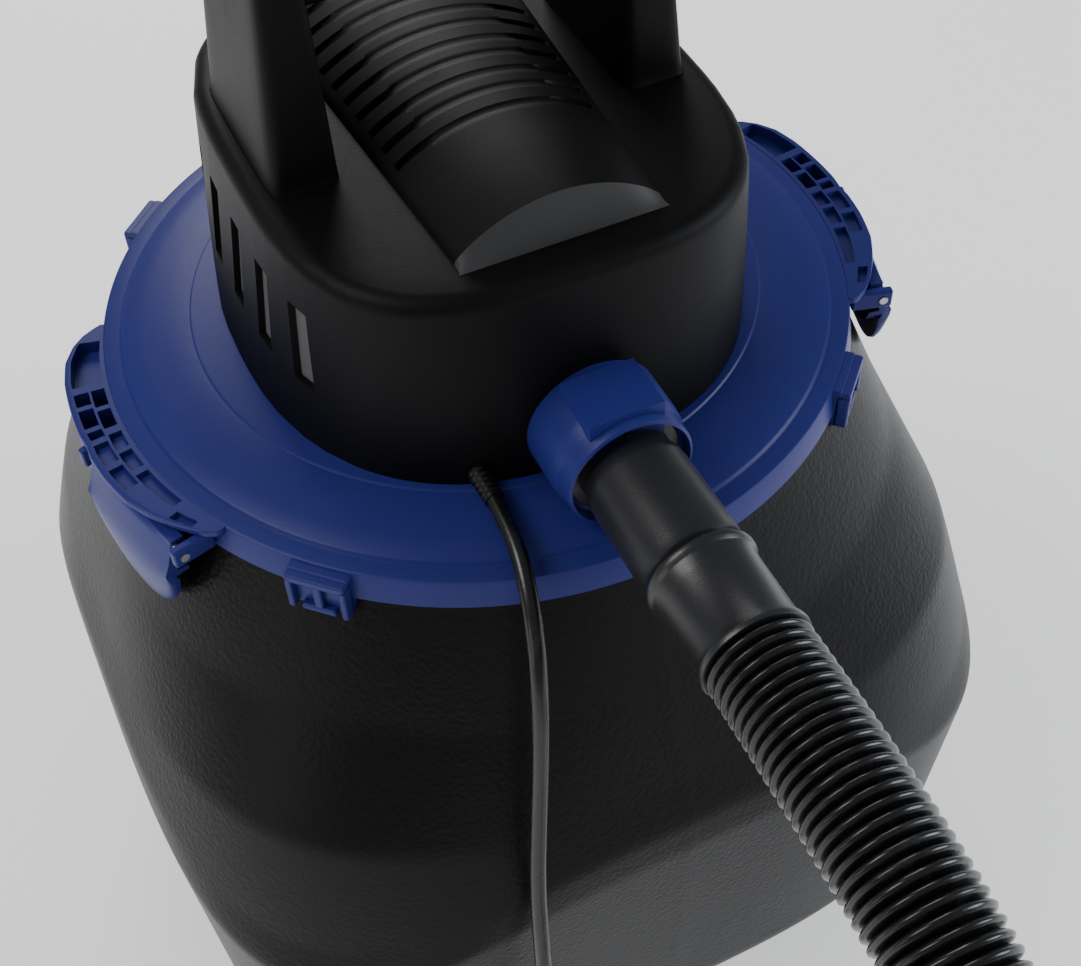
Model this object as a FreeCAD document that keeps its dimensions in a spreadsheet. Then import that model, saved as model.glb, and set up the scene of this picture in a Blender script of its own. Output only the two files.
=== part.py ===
import FreeCAD, Part
import math
import os
import re

import Sketcher
from FreeCAD import Placement, Rotation, Vector

# Wet and dry shop vacuum: a squared drum on four swivel casters, a round lid with a suction
# port and two latches, and a motor head with a carry handle.
# Frame: millimetres, floor at z = 0, drum axis on Z, suction port facing -Y.

doc = FreeCAD.newDocument("shop_vacuum")
sheet = doc.addObject("Spreadsheet::Sheet", "Sizes")

sizes = {
    # drum
    "rim_height": 314, "drum_floor": 46, "drum_wall": 3, "rim_radius": 130.5, "rim_stand": 4.4,
    "waist_drop": 104, "waist_half": 170, "foot_half": 166, "band_height": 17, "crease_half": 163,
    "drum_inner_cut": 2,
    # lid
    "lid_gap": 0.4, "lid_radius": 135, "lid_wall": 3, "lid_step": 10.6, "lid_crown": 16.6, "lid_bore": 68,
    "crown_radius": 113, "gasket_height": 3, "boss_reach": 148, "boss_height": 16.6,
    "corner_boss_reach": 139.5, "corner_boss_width": 20,
    # suction port
    "port_height": 33, "collar_radius": 22.6, "collar_front": 122, "collar_back": 80,
    "port_radius": 15.35, "liner_wall": 3, "liner_front": 117, "liner_back": 107,
    "mouth_radius": 19.6, "tab_width": 25, "drop_radius": 13, "drop_reach": 97, "spout_wall": 2.5,
    "spout_length": 32, "lip_drop": 20,
    # motor head
    "head_half_width": 88, "head_half_depth": 96.5, "head_height": 76.4, "head_draft_x": 10,
    "head_draft_y": 3.5, "head_wall": 2.5, "slot_count": 5, "slot_width": 9.5, "slot_pitch": 23.2,
    "slot_height": 31, "slot_rise": 26.4, "slot_first": -50, "dome_radius": 55.6, "dome_rise": 15,
    "dome_front": 78, "dome_back": 57, "exhaust_radius": 16, "exhaust_wall": 3,
    "exhaust_rise": 34, "exhaust_out": 104, "exhaust_in": 84,
    # carry handle
    "leg_inner": 48, "leg_width": 24, "leg_front": 23, "leg_depth": 68, "handle_rise": 80,
    "grip_height": 24, "grip_depth": 32,
    # rocker switch
    "switch_y": 73, "rocker_x": 24, "rocker_y": 15, "rocker_z": 8, "switch_gap": 1.2,
    # motor
    "shaft_radius": 4, "bearing_gap": 0.05, "stator_inner": 25.5, "stator_outer": 40,
    "armature_radius": 24, "plate_radius": 78, "fan_radius": 50, "fan_bore": 56, "fan_eye": 14,
    # float and filter
    "cage_outer": 32, "cage_wall": 2, "cage_drop": 68, "ball_radius": 17, "sleeve_gap": 0.3,
    "sleeve_wall": 11,
    # latches
    "latch_width": 50, "latch_angle": 15, "pin_radius": 1.6, "pin_gap": 0.05, "pivot_reach": 143.5,
    "ear_gap": 2, "ear_width": 4,
    # casters
    "caster_place": 112, "wheel_radius": 15.5, "wheel_width": 13, "axle_radius": 2.5,
    "axle_gap": 0.05, "caster_trail": 10, "stem_radius": 5, "stem_gap": 0.1, "socket_radius": 13.5,
    "socket_height": 9, "fork_plate": 3.3, "cheek": 2.5, "side_gap": 0.8,
    # hose and mains lead
    "hose_radius": 17.25, "cuff_radius": 15.3, "cuff_bore": 12.5, "cuff_inner_end": 110,
    "ring_radius": 18, "ring_reach": 165, "cuff_outer_end": 197, "hose_end_length": 60,
    "cord_radius": 2.9, "coil_turn_radius": 34.5, "coil_thick": 18, "coil_height": 24,
    "plug_length": 38, "blade_length": 17,
}

for row, (alias, value) in enumerate(sizes.items(), start=1):
    sheet.set(f"A{row}", alias)
    sheet.set(f"B{row}", str(value))
    sheet.setAlias(f"B{row}", alias)
doc.recompute()

nodes = {}


def size(alias):
    """A driving dimension, read back from the sheet."""
    return float(sheet.get(alias))


def bound(formula):
    """A formula in the sheet's own words, as FreeCAD writes it."""
    return re.sub(r"[a-z][a-z_]+", lambda word: prefixed(word.group(0)), str(formula))


def prefixed(word):
    return "Sizes." + word if word in sizes else word


def keep(name, obj):
    """Hand a finished sub-part in under its node name."""
    obj.Label = name
    nodes[name] = obj
    return obj


def put(obj, x=0, y=0, z=0, axis=None, turn=0):
    """Place an object, its turn about an axis first and its place bound to the sheet."""
    rotation = Rotation(Vector(*axis), turn) if axis else Rotation()
    obj.Placement = Placement(Vector(), rotation)
    for letter, formula in zip("xyz", (x, y, z)):
        obj.setExpression("Placement.Base." + letter, bound(formula))
    return obj


def solid(kind, x=0, y=0, z=0, axis=None, turn=0, **properties):
    """A Part primitive with its sizes and place bound to the sheet."""
    obj = doc.addObject("Part::" + kind, kind.lower())
    for name, formula in properties.items():
        obj.setExpression(name, bound(formula))
    return put(obj, x, y, z, axis, turn)


def rod(radius, height, z=0, x=0, y=0, axis=None, turn=0):
    return solid("Cylinder", x, y, z, axis, turn, Radius=radius, Height=height)


def block(wide, deep, high, x=0, y=0, z=0):
    """A box centred on x and y, standing on z."""
    return solid("Box", f"{x} - ({wide}) / 2", f"{y} - ({deep}) / 2", z, Length=wide, Width=deep, Height=high)


def fused(*parts):
    obj = doc.addObject("Part::MultiFuse", "fused")
    obj.Shapes = list(parts)
    return obj


def minus(base, *tools):
    obj = doc.addObject("Part::Cut", "cut")
    obj.Base = base
    obj.Tool = tools[0] if len(tools) == 1 else fused(*tools)
    return obj


def ring(inner, outer, height, z, x=0, y=0):
    return minus(rod(outer, height, z, x, y), rod(inner, f"({height}) + 2", f"({z}) - 1", x, y))


def along_y(radius, front, back, z, x=0):
    """A cylinder lying along Y, between two values of y."""
    return rod(radius, f"({back}) - ({front})", z, x, front, (1, 0, 0), -90)


def along_x(radius, half, y, z, x=0):
    return rod(radius, f"2 * ({half})", z, f"({x}) - ({half})", y, (0, 1, 0), 90)


def sector(inner, outer, z, height, start, sweep):
    """Part of a ring, from one angle round by the sweep, in degrees."""
    whole = solid("Cylinder", 0, 0, z, (0, 0, 1), start, Radius=outer, Height=height, Angle=sweep)
    return minus(whole, rod(inner, f"({height}) + 2", f"({z}) - 1"))


def turned_about(obj, angle, x=0, y=0):
    """A copy of an object, turned about a vertical line."""
    copy = doc.addObject("Part::Feature", "turned")
    shape = obj.Shape.copy()
    shape.rotate(Vector(x, y, 0), Vector(0, 0, 1), angle)
    copy.Shape = shape
    return copy


def profile_sketch(body, role, points):
    """A closed outline whose every corner is bound to the sheet."""
    sketch = body.newObject("Sketcher::SketchObject", "outline")
    plane = next(f for f in body.Origin.OriginFeatures if f.Role == role)
    sketch.AttachmentSupport = [(plane, "")]
    sketch.MapMode = "FlatFace"
    count = len(points)
    rough = []
    for i in range(count):
        turn = 2 * math.pi * i / count
        rough.append(Vector(200 + 90 * math.cos(turn), 90 * math.sin(turn), 0))
    for i in range(count):
        sketch.addGeometry(Part.LineSegment(rough[i], rough[(i + 1) % count]), False)
    for i in range(count):
        sketch.addConstraint(Sketcher.Constraint("Coincident", i, 2, (i + 1) % count, 1))
    for i, (across, up) in enumerate(points):
        for kind, start, formula in (("DistanceX", rough[i].x, across), ("DistanceY", rough[i].y, up)):
            index = sketch.addConstraint(Sketcher.Constraint(kind, i, 1, start))
            sketch.setExpression(f"Constraints[{index}]", bound(formula))
    return sketch


def lathe(points):
    """A PartDesign body turned about Z from an outline in radius and height."""
    body = doc.addObject("PartDesign::Body", "turned")
    sketch = profile_sketch(body, "XZ_Plane", points)
    doc.recompute()
    feature = body.newObject("PartDesign::Revolution", "revolution")
    feature.Profile = sketch
    feature.ReferenceAxis = (sketch, ["V_Axis"])
    feature.Angle = 360
    doc.recompute()
    return body


def extruded(points, width):
    """A PartDesign body padded both ways from an outline in X and Z."""
    body = doc.addObject("PartDesign::Body", "padded")
    sketch = profile_sketch(body, "XZ_Plane", points)
    doc.recompute()
    feature = body.newObject("PartDesign::Pad", "pad")
    feature.Profile = sketch
    feature.Midplane = True
    feature.setExpression("Length", bound(width))
    doc.recompute()
    return body


def oval(half_x, half_y, squareness, z, count=32):
    """A closed curve, |x/a|^n + |y/b|^n = 1: an ellipse at n = 2, squarer as n grows."""
    points = []
    for i in range(count):
        c = math.cos(2 * math.pi * i / count)
        s = math.sin(2 * math.pi * i / count)
        reach = (abs(c) ** squareness + abs(s) ** squareness) ** (-1 / squareness)
        points.append(Vector(half_x * reach * c, half_y * reach * s, z))
    curve = Part.BSplineCurve()
    curve.interpolate(Points=points, PeriodicFlag=True)
    return Part.Wire(curve.toShape())


def lofted(sections, shrink=0.0):
    """A ruled solid through (z, half x, half y, squareness) sections, drawn in by shrink."""
    wires = [oval(a - shrink, b - shrink, n, z) for z, a, b, n in sections]
    return Part.makeLoft(wires, True, True)


def feature(shape):
    obj = doc.addObject("Part::Feature", "shape")
    obj.Shape = shape
    return obj


# Drum
def drum_sections():
    """Round at the rim, squared with rounded corners below the waist band."""
    rim = size("rim_height")
    waist = rim - size("waist_drop")
    crease = waist + size("band_height")
    floor = size("drum_floor")
    return [
        (rim + size("rim_stand"), size("rim_radius"), 2.0),
        (rim - 1, size("rim_radius") + 1.3, 2.0),
        (rim - (rim - crease) * 0.54, 0.45 * size("rim_radius") + 0.55 * size("crease_half"), 2.3),
        (crease, size("crease_half"), 2.92),
        (waist, size("waist_half"), 3.48),
        (waist - 18, size("waist_half") + 1.3, 3.97),
        (floor + 10, size("foot_half"), 3.8),
        (floor, size("foot_half") - 10, 3.4),
    ]


def keeper(angle):
    """The lug on the drum's wall that a latch hooks under."""
    lug = block(14, "latch_width - 10", 6, "pivot_reach - 7.5", 0, "rim_height - 13")
    doc.recompute()
    return turned_about(lug, angle)


sections = [(z, a, a, n) for z, a, n in drum_sections()]
wall = size("drum_wall")
outer = lofted(sections)
hollow = [(z, a, b, n) for z, a, b, n in sections]
hollow[0] = (hollow[0][0] + size("drum_inner_cut"), *hollow[0][1:])
hollow[-1] = (hollow[-1][0] + wall, *hollow[-1][1:])
shell = feature(outer.cut(lofted(hollow, wall)))
latch_angles = {"left": 180 + size("latch_angle"), "right": -size("latch_angle")}
corner_angles = {"front_right": -45, "front_left": -135, "rear_left": 135, "rear_right": 45}
keepers = [keeper(angle) for angle in latch_angles.values()]
inside = feature(lofted(hollow, wall))
drum = keep("drum", fused(shell, *[minus(k, inside) for k in keepers]))

# Lid
z0 = "rim_height"
skin = lathe([
    ("lid_radius", z0),
    ("lid_radius - 1.8", f"{z0} + lid_step - 1"),
    ("lid_radius - 2.8", f"{z0} + lid_step"),
    ("lid_radius - 10.5", f"{z0} + lid_step"),
    ("lid_radius - 12.5", f"{z0} + lid_step + 1.8"),
    ("crown_radius", f"{z0} + lid_crown"),
    ("lid_bore", f"{z0} + lid_crown"),
    ("lid_bore", f"{z0} + lid_crown - lid_wall"),
    ("crown_radius - 1", f"{z0} + lid_crown - lid_wall"),
    ("lid_radius - 13.5", f"{z0} + lid_step + 1.8 - lid_wall - 0.4"),
    ("lid_radius - 11.5", f"{z0} + rim_stand + gasket_height"),
    ("lid_radius - 3.8", f"{z0} + rim_stand + gasket_height"),
    ("lid_radius - 2.4", z0),
])

bottom = "rim_height - 6"
collar_z = "rim_height + port_height"
positive = [skin]
negative = []
for start in (-3, 163):
    positive.append(sector("lid_radius - 2.5", "boss_reach", bottom, "boss_height", start, 20))
    for pocket in (1.6, 11.0):
        cell = sector("lid_radius + 2", "boss_reach - 2.6", "rim_height - 3", 30, start + pocket, 7.4)
        negative.append(cell)
pivot = ("pivot_reach", "rim_height + 4")
pin_half = "latch_width / 2 + ear_gap + ear_width"
pin = rod("pin_radius", f"2 * ({pin_half})", pivot[1], pivot[0], f"-({pin_half})", (1, 0, 0), -90)
doc.recompute()
pins = [turned_about(pin, angle) for angle in latch_angles.values()]
ear_reach = "boss_reach - lid_radius + 4"
ear_x = "(boss_reach + lid_radius) / 2 - 1"
for angle in latch_angles.values():
    for side in (-1, 1):
        ear_y = f"{side} * (latch_width / 2 + ear_gap + ear_width / 2)"
        ear = block(ear_reach, "ear_width", 16, ear_x, ear_y, "rim_height - 5")
        doc.recompute()
        positive.append(turned_about(ear, angle))
foot_reach = "corner_boss_reach - lid_radius + 3"
foot_x = "(corner_boss_reach + lid_radius) / 2 - 1.5"
for angle in corner_angles.values():
    foot = block(foot_reach, "corner_boss_width", 16, foot_x, 0, bottom)
    notch = block(6, 3.2, 11, "corner_boss_reach - 1", 0, "rim_height - 7")
    bar = block(6, 11, 3.2, "corner_boss_reach - 1", 0, "rim_height + 3")
    foot = minus(foot, notch, bar)
    doc.recompute()
    positive.append(turned_about(foot, angle))
positive.append(along_y("collar_radius", "-collar_front", "-collar_back", collar_z))
positive.append(block("tab_width", 24, "collar_radius + 1", 0, "12 - collar_front", collar_z))
negative.append(along_y("mouth_radius", "-collar_front - 1", "-liner_front", collar_z))
negative.append(along_y("port_radius + liner_wall", "-liner_front - 1", "-collar_back - 4", collar_z))
negative.append(rod("drop_radius", "port_height", "rim_height + 5", 0, "-drop_reach"))
inner_space = rod("rim_radius + 0.6", 60, "rim_height - 60 + rim_stand + gasket_height")
drum_space = feature(lofted(sections, -size("lid_gap")))
lid = keep("lid", minus(fused(*positive), *negative, *pins, inner_space, drum_space))

keep("lid_gasket", ring("rim_radius - 6", "rim_radius - 0.2", "gasket_height", "rim_height + rim_stand"))
keep("port_liner", minus(
    along_y("port_radius + liner_wall", "-liner_front", "-liner_back", collar_z),
    along_y("port_radius", "-liner_front - 1", "-liner_back + 1", collar_z),
))

deflector_top = "rim_height + lid_crown - lid_wall"
spout_low = f"{deflector_top} - spout_length"
spout = ring("drop_radius", "drop_radius + spout_wall", "spout_length", spout_low, 0, "-drop_reach")
lip_y = "drop_radius + spout_wall / 2 - drop_reach"
lip = block("2 * drop_radius", "spout_wall", "lip_drop + 1", 0, lip_y, f"{spout_low} - lip_drop")
saddle = along_y("collar_radius", "-collar_front", "-collar_back", collar_z)
keep("inlet_deflector", minus(fused(spout, lip), saddle))

# Motor head
head_z = size("rim_height") + size("lid_crown")
head_top = head_z + size("head_height")
a, b = size("head_half_width"), size("head_half_depth")
da, db = size("head_draft_x"), size("head_draft_y")
head_sections = [
    (head_z, a, b, 2.4),
    (head_z + 0.5 * size("head_height"), a - 0.45 * da, b - 0.35 * db, 2.75),
    (head_top - 4, a - 0.9 * da, b - 0.9 * db, 3.15),
    (head_top, a - 1.25 * da, b - 1.8 * db, 3.2),
]
core = [(z - (0 if z > head_z else 1), p, q, n) for z, p, q, n in head_sections[:-1]]
core[-1] = (head_top - size("head_wall"), a - da, b - db, 3.15)
head_shell = feature(lofted(head_sections).cut(lofted(core, size("head_wall"))))
top = "rim_height + lid_crown + head_height"
dome_z = f"{top} + dome_rise - dome_radius"
dome = along_y("dome_radius", "-dome_front", "dome_back", dome_z)
dome = minus(dome, rod(200, 200, f"{top} - head_wall - 200"))
dome_bore = along_y("dome_radius - head_wall", "-dome_front + head_wall", "dome_back - head_wall", dome_z)
dome_bore = minus(dome_bore, rod(200, 200, f"{top} - head_wall - 201"))
cuts = [dome_bore]
slot_z = "rim_height + lid_crown + slot_rise"
for i in range(int(size("slot_count"))):
    cuts.append(block(220, "slot_width", "slot_height", 0, f"slot_first + {i} * slot_pitch", slot_z))
for i in range(5):
    cuts.append(block(46, 3, 9, 0, f"-18 + {i} * 14", f"{top} + dome_rise - 8"))
cuts.append(along_y("collar_radius + 0.4", "-200", "-collar_back + 1", collar_z))
exhaust_z = "rim_height + lid_crown + exhaust_rise"
cuts.append(along_y("exhaust_radius + exhaust_wall", "exhaust_in - 6", 130, exhaust_z))
grip_z = "rim_height + lid_crown + 4.4"
cuts.append(along_y("cord_radius + 1.6", -120, -70, grip_z, -38))
cuts.append(block("rocker_x + switch_gap", "rocker_y + 1.8", 20, 0, "switch_y", f"{top} - 10"))
screw_places = [(-60, -6), (-60, 28), (60, -6), (60, 28)]
for x, y in screw_places:
    cuts.append(rod(2, 12, f"{top} - 6", x, y))
keep("motor_housing", minus(fused(head_shell, dome), *cuts))

thin = [(z + (1 if z > head_z else 0), p, q, n) for z, p, q, n in core]
panel = feature(lofted(core, size("head_wall") + 0.3).cut(lofted(thin, size("head_wall") + 2.3)))
window_y = "slot_first + 2 * slot_pitch"
for side, name in ((-1, "vent_baffle_left"), (1, "vent_baffle_right")):
    window_x = f"{side} * (head_half_width - 6)"
    window = block(60, "slot_pitch * 4 + 24", "slot_height + 8", window_x, window_y, f"{slot_z} - 4")
    pair = doc.addObject("Part::Common", "common")
    pair.Base = panel
    pair.Tool = window
    keep(name, pair)

tube = along_y("exhaust_radius + exhaust_wall", "exhaust_in", "exhaust_out", exhaust_z)
bore = along_y("exhaust_radius", "exhaust_in - 1", "exhaust_out + 1", exhaust_z)
keep("exhaust_port", minus(tube, bore))

keep("cord_grip", solid("Cone", -38, -78, grip_z, (1, 0, 0), 90, Radius1=4.4, Radius2=3.4, Height=25))

# Carry handle
def slab(x0, x1, y0, y1, z):
    corners = [Vector(x0, y0, z), Vector(x1, y0, z), Vector(x1, y1, z), Vector(x0, y1, z), Vector(x0, y0, z)]
    return Part.makePolygon(corners)


def handle_leg(side):
    """A slab that keeps most of its depth up to the grip: each level gives its share of the rise,
    of the width and of the depth, and how far its faces step in."""
    inner, wide = size("leg_inner"), size("leg_width")
    front, deep = -size("leg_front"), size("leg_depth")
    levels = [(0, 1, 1, 0), (0.6, 0.8, 0.935, 1), (0.8, 0.75, 0.865, 1.2), (1, 0.68, 0.62, 1.5)]
    wires = []
    for share, narrow, shallow, step in levels:
        z = head_top + share * size("handle_rise")
        outside = inner + narrow * wide
        wires.append(slab(side * (inner + step), side * outside, front + 2 * step, front + shallow * deep, z))
    return Part.makeLoft(wires, True, True)


def grip_bar():
    inner, wide = size("leg_inner"), size("leg_width")
    reach = inner + 0.5 * wide
    front = -size("leg_front") + 3
    low = head_top + size("handle_rise") - size("grip_height")
    bar = Part.makeBox(2 * reach, size("grip_depth"), size("grip_height"), Vector(-reach, front, low))
    edges = [e for e in bar.Edges if abs(e.Vertexes[0].Point.x - e.Vertexes[1].Point.x) > 1]
    return bar.makeFillet(size("grip_height") * 0.35, edges)


handle = feature(handle_leg(-1).fuse([handle_leg(1), grip_bar()]).removeSplitter())
handle_holes = [rod(2, 8, f"{top} - 1", x, y) for x, y in screw_places]
keep("carry_handle", minus(handle, *handle_holes))
screws = []
for x, y in screw_places:
    screws.append(rod(2, 9.5, f"{top} - head_wall", x, y))
    screws.append(rod(3.8, 2, f"{top} - head_wall - 2", x, y))
keep("handle_screws", fused(*screws))

# Switch
bezel = block("rocker_x + 8", "rocker_y + 9", 2.4, 0, "switch_y", top)
well = block("rocker_x + switch_gap", "rocker_y + 1.8", 8, 0, "switch_y", f"{top} - 2")
keep("switch_bezel", minus(bezel, well))
keep("rocker_switch", block("rocker_x", "rocker_y", "rocker_z", 0, "switch_y", f"{top} - rocker_z / 2"))

# Motor and fan
plate_z = "rim_height + lid_crown"
plate = rod("plate_radius", 3, plate_z)
hub = rod(15, 8, f"{plate_z} + 2")
post_places = [(34 * math.cos(math.radians(t)), 34 * math.sin(math.radians(t))) for t in (30, 150, 270)]
posts = [rod(3, 11, f"{plate_z} + 2.5", round(x, 3), round(y, 3)) for x, y in post_places]
shaft_hole = rod("shaft_radius + 2", 20, f"{plate_z} - 1")
seat = rod(11, 8, f"{plate_z} + 3")
fix_places = [(45.2, 45.2), (-45.2, 45.2), (45.2, -45.2), (-45.2, -45.2)]
fix_holes = [rod(1.5, 5, f"{plate_z} - 1", x, y) for x, y in fix_places]
keep("motor_plate", minus(fused(plate, hub, *posts), shaft_hole, seat, *fix_holes))
keep("bearing_lower", ring("shaft_radius + bearing_gap", 11, 6, f"{plate_z} + 3"))
fixings = []
for x, y in fix_places:
    fixings.append(rod(1.5, 6, plate_z, x, y))
    fixings.append(rod(2.8, 2.4, f"{plate_z} - 2.4", x, y))
keep("plate_screws", fused(*fixings))

keep("motor_stator", ring("stator_inner", "stator_outer", 36, f"{plate_z} + 13.5"))
bridge_z = f"{plate_z} + 63"
bridge = block(86, 18, 3, 0, 0, bridge_z)
yoke = [block(6, 18, 13.5, x, 0, f"{plate_z} + 49.5") for x in (-36, 36)]
ring_seat = rod(11, 8, f"{bridge_z} - 5")
hole = rod(8, 20, f"{bridge_z} - 6")
keep("motor_bracket", minus(fused(bridge, *yoke, ring_seat), hole))
keep("bearing_upper", ring("shaft_radius + bearing_gap", 8, 6, f"{bridge_z} - 4"))
keep("carbon_brushes", fused(*[block(14, 6, 5, x, 0, f"{plate_z} + 51") for x in (-19.4, 19.4)]))
fan_z = f"{plate_z} - 33"
keep("rotor_shaft", rod("shaft_radius", 91, f"{fan_z} + 8.3"))
keep("armature", ring("shaft_radius", "armature_radius", 32, f"{plate_z} + 15.5"))
keep("commutator", ring("shaft_radius", 12, 7, f"{plate_z} + 50"))

fan_shell = ring("fan_bore", "fan_bore + 2", 33, fan_z)
fan_floor = ring("fan_eye", "fan_bore + 2", 2, fan_z)
keep("fan_housing", fused(fan_shell, fan_floor))
lower = ring(16, "fan_radius", 1.5, f"{fan_z} + 8")
upper = ring("shaft_radius", "fan_radius", 1.5, f"{fan_z} + 20")
fan_hub = ring("shaft_radius", 9, 9, f"{fan_z} + 12")
blade = block("fan_radius - 17.5", 1.5, 11.5, "(fan_radius + 16.5) / 2", 0, f"{fan_z} + 9")
doc.recompute()
blades = [turned_about(blade, angle) for angle in range(0, 360, 45)]
keep("impeller", fused(lower, upper, fan_hub, *blades))
keep("impeller_nut", ring("shaft_radius", 7, 3.5, f"{fan_z} + 8.5"))

# Float and filter
cage_z = f"{fan_z} - cage_drop"
cage = ring("cage_outer - cage_wall", "cage_outer", "cage_drop", cage_z)
cage_floor = rod("cage_outer", 2, cage_z)
windows = []
for angle in (0, 60, 120):
    window = block(90, 14, "cage_drop - 18", 0, 0, f"{cage_z} + 9")
    doc.recompute()
    windows.append(turned_about(window, angle))
keep("float_cage", minus(fused(cage, cage_floor), *windows))
keep("float_ball", solid("Sphere", 0, 0, f"{cage_z} + 2.3 + ball_radius", Radius="ball_radius"))
sleeve_z = f"{cage_z} + 2"
sleeve_outer = "cage_outer + sleeve_gap + sleeve_wall"
keep("filter_sleeve", ring("cage_outer + sleeve_gap", sleeve_outer, "cage_drop - 3", sleeve_z))
keep("filter_band", ring(sleeve_outer, f"{sleeve_outer} + 1.6", 7, f"{fan_z} - 12"))

# Latches
latch_outline = [
    ("pivot_reach - 3.7", f"{z0} + 9.5"),
    ("pivot_reach + 3.5", f"{z0} + 9.5"),
    ("pivot_reach + 7.5", f"{z0} + 3"),
    ("pivot_reach + 9", f"{z0} - 12"),
    ("pivot_reach + 7.5", f"{z0} - 27"),
    ("pivot_reach + 5.5", f"{z0} - 34"),
    ("pivot_reach + 3", f"{z0} - 33"),
    ("pivot_reach + 4.2", f"{z0} - 24"),
    ("pivot_reach + 4.6", f"{z0} - 19.5"),
    ("pivot_reach - 2.6", f"{z0} - 18.5"),
    ("pivot_reach - 2.6", f"{z0} - 14.2"),
    ("pivot_reach + 3", f"{z0} - 12.8"),
    ("pivot_reach + 2.6", f"{z0} - 4"),
    ("pivot_reach - 3.7", f"{z0} - 2"),
]
lever = extruded(latch_outline, "latch_width")
hole_y = "-latch_width / 2 - 1"
pivot_hole = rod("pin_radius + pin_gap", "latch_width + 2", pivot[1], pivot[0], hole_y, (1, 0, 0), -90)
lever = minus(lever, pivot_hole)
doc.recompute()
for side, angle in latch_angles.items():
    keep("latch_" + side, turned_about(lever, angle))
keep("latch_pins", fused(*pins))

# Casters
caster_signs = {"front_right": (1, -1), "front_left": (-1, -1), "rear_left": (-1, 1), "rear_right": (1, 1)}
socket_z = "drum_floor - socket_height"
sockets = []
for corner, (sx, sy) in caster_signs.items():
    x, y = f"{sx} * caster_place", f"{sy} * caster_place"
    cup = rod("socket_radius", "socket_height", socket_z, x, y)
    cup_bore = rod("stem_radius + stem_gap", "socket_height - 1", f"{socket_z} - 0.5", x, y)
    sockets.append(minus(cup, cup_bore))
    plate_top = f"{socket_z} - 0.3"
    disc = rod("socket_radius", "fork_plate", f"{plate_top} - fork_plate", x, y)
    stem = rod("stem_radius", "socket_height - 2", f"{plate_top} - 0.5", x, y)
    wheel_y = f"{y} + caster_trail"
    cheeks = []
    low = "wheel_radius - 5"
    cheek_height = f"{plate_top} - fork_plate + 0.5 - ({low})"
    for side in (-1, 1):
        cheek_x = f"{x} + {side} * (wheel_width / 2 + side_gap + cheek / 2)"
        cheeks.append(block("cheek", 17, cheek_height, cheek_x, f"{wheel_y} - 3", low))
    axle_half = "wheel_width / 2 + side_gap + cheek"
    axle = along_x("axle_radius", axle_half, wheel_y, "wheel_radius", x)
    axle_hole = along_x("axle_radius", f"{axle_half} + 1", wheel_y, "wheel_radius", x)
    keep("caster_fork_" + corner, minus(fused(disc, stem, *cheeks), axle_hole))
    keep("caster_axle_" + corner, axle)
    rim = lathe([
        ("axle_radius + axle_gap", "-wheel_width / 2"),
        ("wheel_radius - 2", "-wheel_width / 2"),
        ("wheel_radius", "-wheel_width / 2 + 2.5"),
        ("wheel_radius", "wheel_width / 2 - 2.5"),
        ("wheel_radius - 2", "wheel_width / 2"),
        ("axle_radius + axle_gap", "wheel_width / 2"),
    ])
    keep("caster_wheel_" + corner, put(rim, x, wheel_y, "wheel_radius", (0, 1, 0), 90))
keep("caster_sockets", fused(*sockets))

# Hose
cuff_sleeve = along_y("cuff_radius", "-ring_reach", "-cuff_inner_end", collar_z)
cuff_ring = along_y("ring_radius", "-ring_reach - 3", "-ring_reach + 1", collar_z)
cuff_grip = along_y("cuff_radius + 0.7", "-cuff_outer_end", "-ring_reach", collar_z)
cuff_hole = along_y("cuff_bore", "-cuff_outer_end + 3", "-cuff_inner_end + 1", collar_z)
keep("hose_cuff", minus(fused(cuff_sleeve, cuff_ring, cuff_grip), cuff_hole))

hose_route = [
    (0, -197, 347), (0, -262, 347), (-2, -326, 334), (-23, -382, 312), (-37, -435, 281),
    (-52, -483, 236), (-62, -525, 186), (-49, -568, 139), (-20, -611, 98), (21, -639, 62),
    (76, -654, 34), (139, -656, 18), (201, -641, 18), (254, -605, 18), (290, -554, 18),
    (305, -491, 18), (296, -429, 18), (264, -373, 18), (216, -333, 18), (155, -313, 18),
    (92, -316, 18), (34, -344, 18), (-9, -388, 18), (-35, -446, 18),
]
cord_route = [
    (-38, -103, 335), (-38.5, -117, 334.5), (-41, -132, 331), (-45, -147, 320.5), (-49, -157, 303),
    (-52, -162, 281), (-56, -167, 253), (-61, -174, 223), (-64, -182, 191), (-66, -188, 157),
    (-68, -191, 118), (-70, -193, 80), (-72, -197, 48), (-74, -205, 26), (-77, -220, 10.5),
    (-81, -243, 3.2), (-85, -267, 3.2),
]
tail_route = [
    (-85.5, -286, 21.2), (-84.5, -306, 20), (-85, -326, 14.5), (-88, -346, 11), (-91, -364, 10.2),
]


def rounded_path(points):
    """Straight runs joined by tangent arcs, each as large as its two runs allow."""
    edges = []
    radii = []
    last = points[0]
    for before, corner, after in zip(points, points[1:], points[2:]):
        back, ahead = before - corner, after - corner
        turn = math.pi - back.getAngle(ahead)
        cut = 0.45 * min(back.Length, ahead.Length)
        radii.append(cut / math.tan(turn / 2))
        back.normalize()
        ahead.normalize()
        start, end = corner + back * cut, corner + ahead * cut
        middle = (back + ahead).normalize()
        reach = radii[-1] / math.cos(turn / 2) - radii[-1]
        edges.append(Part.LineSegment(last, start).toShape())
        edges.append(Part.Arc(start, corner + middle * reach, end).toShape())
        last = end
    edges.append(Part.LineSegment(last, points[-1]).toShape())
    return Part.Wire(edges), radii


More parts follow.
